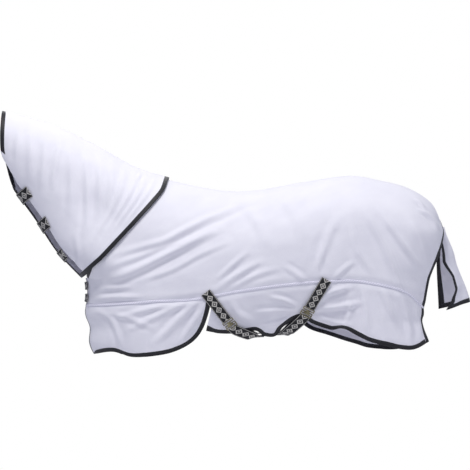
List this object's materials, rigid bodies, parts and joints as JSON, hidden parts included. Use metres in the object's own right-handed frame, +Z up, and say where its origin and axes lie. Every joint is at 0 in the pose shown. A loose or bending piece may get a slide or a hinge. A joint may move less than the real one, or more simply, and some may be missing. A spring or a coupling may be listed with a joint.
{
  "type": "horse fly sheet",
  "caption": "Mesh fly rug in the shape of a horse, with a detachable neck cover, throat tabs, crossed surcingles, chest straps and a tail flap, bound in black tape.",
  "frame": {"origin": "the top line of the rug at the withers, where it lies on the horse's back", "axes": "+X towards the tail, along the back; +Z up; -Y the near (left) side of the horse"},
  "size_m": [2.2023, 0.603, 1.1465],
  "materials": {
    "fly_mesh": "white polyester knitted mesh",
    "seam_tape": "white woven seam tape and piping",
    "edge_binding": "black woven binding tape, slight sheen",
    "webbing": "black polypropylene webbing with a light woven motif",
    "hook_and_loop": "black nylon hook-and-loop tape",
    "fittings": "dull antique brass plated plates"
  },
  "bodies": {
    "body_rug": {"near_body_panel": "fly_mesh", "near_shoulder_skirt": "fly_mesh", "near_quarter_skirt": "fly_mesh", "far_body_panel": "fly_mesh", "far_shoulder_skirt": "fly_mesh", "far_quarter_skirt": "fly_mesh", "spine_seam_tape": "seam_tape", "near_side_piping": "seam_tape", "far_side_piping": "seam_tape", "near_chest_binding": "edge_binding", "near_neckline_binding": "edge_binding", "near_rear_binding": "edge_binding", "near_shoulder_hem_binding": "edge_binding", "near_quarter_hem_binding": "edge_binding", "far_chest_binding": "edge_binding", "far_neckline_binding": "edge_binding", "far_rear_binding": "edge_binding", "far_shoulder_hem_binding": "edge_binding", "far_quarter_hem_binding": "edge_binding", "front_belly_strap": "webbing", "rear_belly_strap": "webbing", "chest_anchor_strap_upper": "webbing", "chest_anchor_strap_lower": "webbing", "front_slotted_plate": "fittings", "rear_slotted_plate": "fittings", "chest_slotted_plate_upper": "fittings", "chest_slotted_plate_lower": "fittings", "front_slide_adjuster": "fittings", "rear_slide_adjuster": "fittings", "withers_loop_patch_near": "hook_and_loop", "withers_loop_patch_far": "hook_and_loop"},
    "neck_cover": {"neck_panel_near": "fly_mesh", "neck_panel_far": "fly_mesh", "crest_seam_tape": "seam_tape", "neck_rear_binding_near": "edge_binding", "neck_rear_binding_far": "edge_binding", "face_binding_near": "edge_binding", "face_binding_far": "edge_binding", "throat_binding_far": "edge_binding", "throat_loop_patch_1": "hook_and_loop", "throat_loop_patch_2": "hook_and_loop", "throat_loop_patch_3": "hook_and_loop", "withers_hook_patch_near": "hook_and_loop", "withers_hook_patch_far": "hook_and_loop"},
    "throat_closure_1": {"throat_tab_1": "webbing"},
    "throat_closure_2": {"throat_tab_2": "webbing"},
    "throat_closure_3": {"throat_tab_3": "webbing"},
    "tail_flap_sheet": {"tail_flap": "fly_mesh", "tail_flap_hem_binding": "edge_binding", "tail_flap_near_binding": "edge_binding", "tail_flap_far_binding": "edge_binding"},
    "front_strap": {"near_front_surcingle": "webbing"},
    "front_clip": {"near_front_hook_plate": "fittings"},
    "rear_strap": {"near_rear_surcingle": "webbing"},
    "rear_clip": {"near_rear_hook_plate": "fittings"},
    "upper_chest_strap": {"chest_strap_upper": "webbing"},
    "upper_chest_clip": {"chest_hook_plate_upper": "fittings"},
    "lower_chest_strap": {"chest_strap_lower": "webbing"},
    "lower_chest_clip": {"chest_hook_plate_lower": "fittings"}
  },
  "joints": [
    {"name": "neck_cover_lift", "type": "hinge", "parent": "body_rug", "child": "neck_cover", "pos_m": [0, 0, 0], "axis": [0, 1, 0], "range_deg": [0, 40]},
    {"name": "throat_tab_1_open", "type": "hinge", "parent": "neck_cover", "child": "throat_closure_1", "pos_m": [-0.68021, 0.05327, -0.08105], "axis": [0.5882, 0.0118, -0.8087], "range_deg": [0, 110]},
    {"name": "throat_tab_2_open", "type": "hinge", "parent": "neck_cover", "child": "throat_closure_2", "pos_m": [-0.58988, 0.05273, -0.21976], "axis": [0.5159, 0.0361, -0.8559], "range_deg": [0, 110]},
    {"name": "throat_tab_3_open", "type": "hinge", "parent": "neck_cover", "child": "throat_closure_3", "pos_m": [-0.49929, 0.05041, -0.36113], "axis": [0.6549, 0.0169, -0.7555], "range_deg": [0, 110]},
    {"name": "tail_flap_lift", "type": "hinge", "parent": "body_rug", "child": "tail_flap_sheet", "pos_m": [1.298, 0, -0.221], "axis": [0, -1, 0], "range_deg": [0, 60]},
    {"name": "front_surcingle_open", "type": "hinge", "parent": "body_rug", "child": "front_strap", "pos_m": [0.17908, -0.26821, -0.52401], "axis": [-0.7882, 0.1885, -0.5859], "range_deg": [0, 60]},
    {"name": "front_clip_turn", "type": "hinge", "parent": "front_strap", "child": "front_clip", "pos_m": [0.27931, -0.25383, -0.65427], "axis": [-0.7803, 0.2979, -0.5499], "range_deg": [0, 45]},
    {"name": "rear_surcingle_open", "type": "hinge", "parent": "body_rug", "child": "rear_strap", "pos_m": [0.73716, -0.29325, -0.46432], "axis": [-0.8674, -0.1118, 0.4849], "range_deg": [0, 60]},
    {"name": "rear_clip_turn", "type": "hinge", "parent": "rear_strap", "child": "rear_clip", "pos_m": [0.65816, -0.26316, -0.59874], "axis": [-0.8664, -0.2197, 0.4484], "range_deg": [0, 45]},
    {"name": "upper_chest_open", "type": "hinge", "parent": "body_rug", "child": "upper_chest_strap", "pos_m": [-0.37486, -0.06487, -0.4962], "axis": [-0.0292, -0.0004, 0.9996], "range_deg": [0, 75]},
    {"name": "upper_chest_clip_turn", "type": "hinge", "parent": "upper_chest_strap", "child": "upper_chest_clip", "pos_m": [-0.38078, 0.04882, -0.49664], "axis": [-0.1134, 0.0175, 0.9934], "range_deg": [0, 45]},
    {"name": "lower_chest_open", "type": "hinge", "parent": "body_rug", "child": "lower_chest_strap", "pos_m": [-0.37316, -0.06484, -0.55446], "axis": [-0.0292, -0.0004, 0.9996], "range_deg": [0, 75]},
    {"name": "lower_chest_clip_turn", "type": "hinge", "parent": "lower_chest_strap", "child": "lower_chest_clip", "pos_m": [-0.37973, 0.04896, -0.55371], "axis": [0.0808, 0.0147, 0.9966], "range_deg": [0, 45]}
  ]
}
